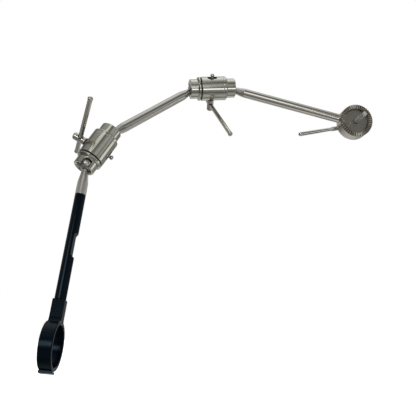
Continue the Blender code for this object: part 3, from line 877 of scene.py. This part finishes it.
CENTRE = (CAD_BOX[0] + CAD_BOX[1]) / 2
CAMERA_AT = Vector((-0.22807, -0.57414, -0.18756))
CAMERA_BACK = -Vector((0.100613, 0.983444, 0.150665))    # away from what it looks at
CAMERA_UP = Vector((0, -0.1505, 0.9886))
CAMERA_LENS = 47.6                                       # in millimetres, on a 36 mm wide sensor


def camera():
    made = bpy.data.objects.new("camera", bpy.data.cameras.new("camera"))
    bpy.context.scene.collection.objects.link(made)
    back = CAMERA_BACK.normalized()
    right = CAMERA_UP.cross(back).normalized()
    turn = Matrix((right, back.cross(right), back)).transposed().to_4x4()
    made.matrix_world = Matrix.Translation(CAMERA_AT) @ turn
    made.data.lens = CAMERA_LENS
    made.data.sensor_width = 36.0
    made.data.clip_start = 0.01
    made.data.clip_end = 50.0
    bpy.context.scene.camera = made


def toward(bearing, rise):
    """Way to a place in the studio: degrees to the right of the camera's side, and degrees up."""
    side, lift = math.radians(bearing), math.radians(rise)
    flat = math.cos(lift)
    return Vector((math.sin(side) * flat, -math.cos(side) * flat, math.sin(lift)))


def softbox(name, bearing, rise, extent, brightness):
    """Area light, of the given width and height in degrees as seen from the arm."""
    light = bpy.data.lights.new(name, "AREA")
    light.shape = "RECTANGLE"
    wide, high = (2.0 * LIGHT_DISTANCE * math.tan(math.radians(angle / 2)) for angle in extent)
    light.size, light.size_y = wide, high
    light.energy = math.pi * wide * high * brightness
    made = bpy.data.objects.new(name, light)
    made.visible_camera = False
    aimed(made, CENTRE + LIGHT_DISTANCE * toward(bearing, rise), CENTRE)


LIGHT_DISTANCE = 2.4          # in metres
# The room as the steel mirrors it: its brightness at each height angle, in degrees. From below, it
# has a pale ground, a dark band, a lit wall, a dark horizon, a lit strip, a dark band and a bright
# ceiling.
ROOM = (
    (-90, 0.80), (-68, 0.28), (-54, 0.12), (-40, 0.34), (-26, 0.40), (-8, 0.12),
    (4, 0.12), (19, 0.48), (32, 0.16), (46, 0.12), (60, 0.48), (82, 1.05),
)
SIDEWAYS = 0.4                # how much brighter the room is to the right, and darker to the left
BEHIND = 1.2                  # how much brighter it is behind the arm
DIMMEST = 0.35                # the least that SIDEWAYS and BEHIND leave of it
FLOOR_BELOW = 0.45            # from the arm's lowest point, in metres
FLOOR_HALF = 6.0              # half the floor's side, in metres
# Name, degrees to the right, degrees up, width and height in degrees, brightness.
SOFTBOXES = (
    ("front", 5, 2, (19, 24), 1.5),
    ("low", 23, -21, (24, 9), 2.2),
    ("high", -6, 48, (26, 14), 0.8),
    ("side", 70, 6, (14, 12), 0.4),
    ("right", 96, -8, (24, 12), 1.0),
    ("left", -80, 32, (60, 18), 0.36),
    ("glint", -20, 12, (8, 18), 8.0),
)


def studio():
    world = bpy.data.worlds.new("studio")
    world.use_nodes = True
    tree = world.node_tree
    surface = tree.nodes["Background"]
    way = linked(tree, "ShaderNodeTexCoord").outputs["Generated"]
    x, y, z = linked(tree, "ShaderNodeSeparateXYZ", Vector=way).outputs
    ramp = linked(tree, "ShaderNodeValToRGB", Fac=remapped(tree, z, (-1.0, 1.0)))
    elements = ramp.color_ramp.elements
    elements.remove(elements[1])
    for number, (rise, tone) in enumerate(ROOM):
        position = 0.5 + 0.5 * math.sin(math.radians(rise))
        stop = elements.new(position) if number else elements[0]
        stop.position = position
        stop.color = (tone, tone, tone, 1.0)
    rear = maths(tree, "MAXIMUM", y, 0.0)
    uneven = maths(tree, "ADD", weighed(tree, x, rear, (SIDEWAYS, BEHIND)), 1.0)
    lit = scaled(tree, ramp.outputs[0], maths(tree, "MAXIMUM", uneven, DIMMEST))
    seen = linked(tree, "ShaderNodeLightPath").outputs["Is Camera Ray"]
    tree.links.new(mixed(tree, seen, lit, (1, 1, 1)), surface.inputs[0])
    bpy.context.scene.world = world
    for box in SOFTBOXES:
        softbox(*box)
    bpy.context.scene.view_settings.view_transform = "Standard"


def floor():
    """A pale floor well below the arm, which its mount holds up."""
    level = CAD_BOX[0].z - FLOOR_BELOW
    corners = ((-1, -1), (1, -1), (1, 1), (-1, 1))
    points = [(x * FLOOR_HALF, y * FLOOR_HALF, level) for x, y in corners]
    sheet = made_of("floor", points, [(0, 1, 2, 3)])
    made, _, shader = blank("floor_white", (0.92, 0.92, 0.92), 0.9, 0.0)
    shader.inputs["Emission Color"].default_value = (1, 1, 1, 1)
    shader.inputs["Emission Strength"].default_value = 1.0
    sheet.data.materials.append(made)
    sheet.visible_glossy = False
    sheet.visible_diffuse = False


camera()
studio()
floor()
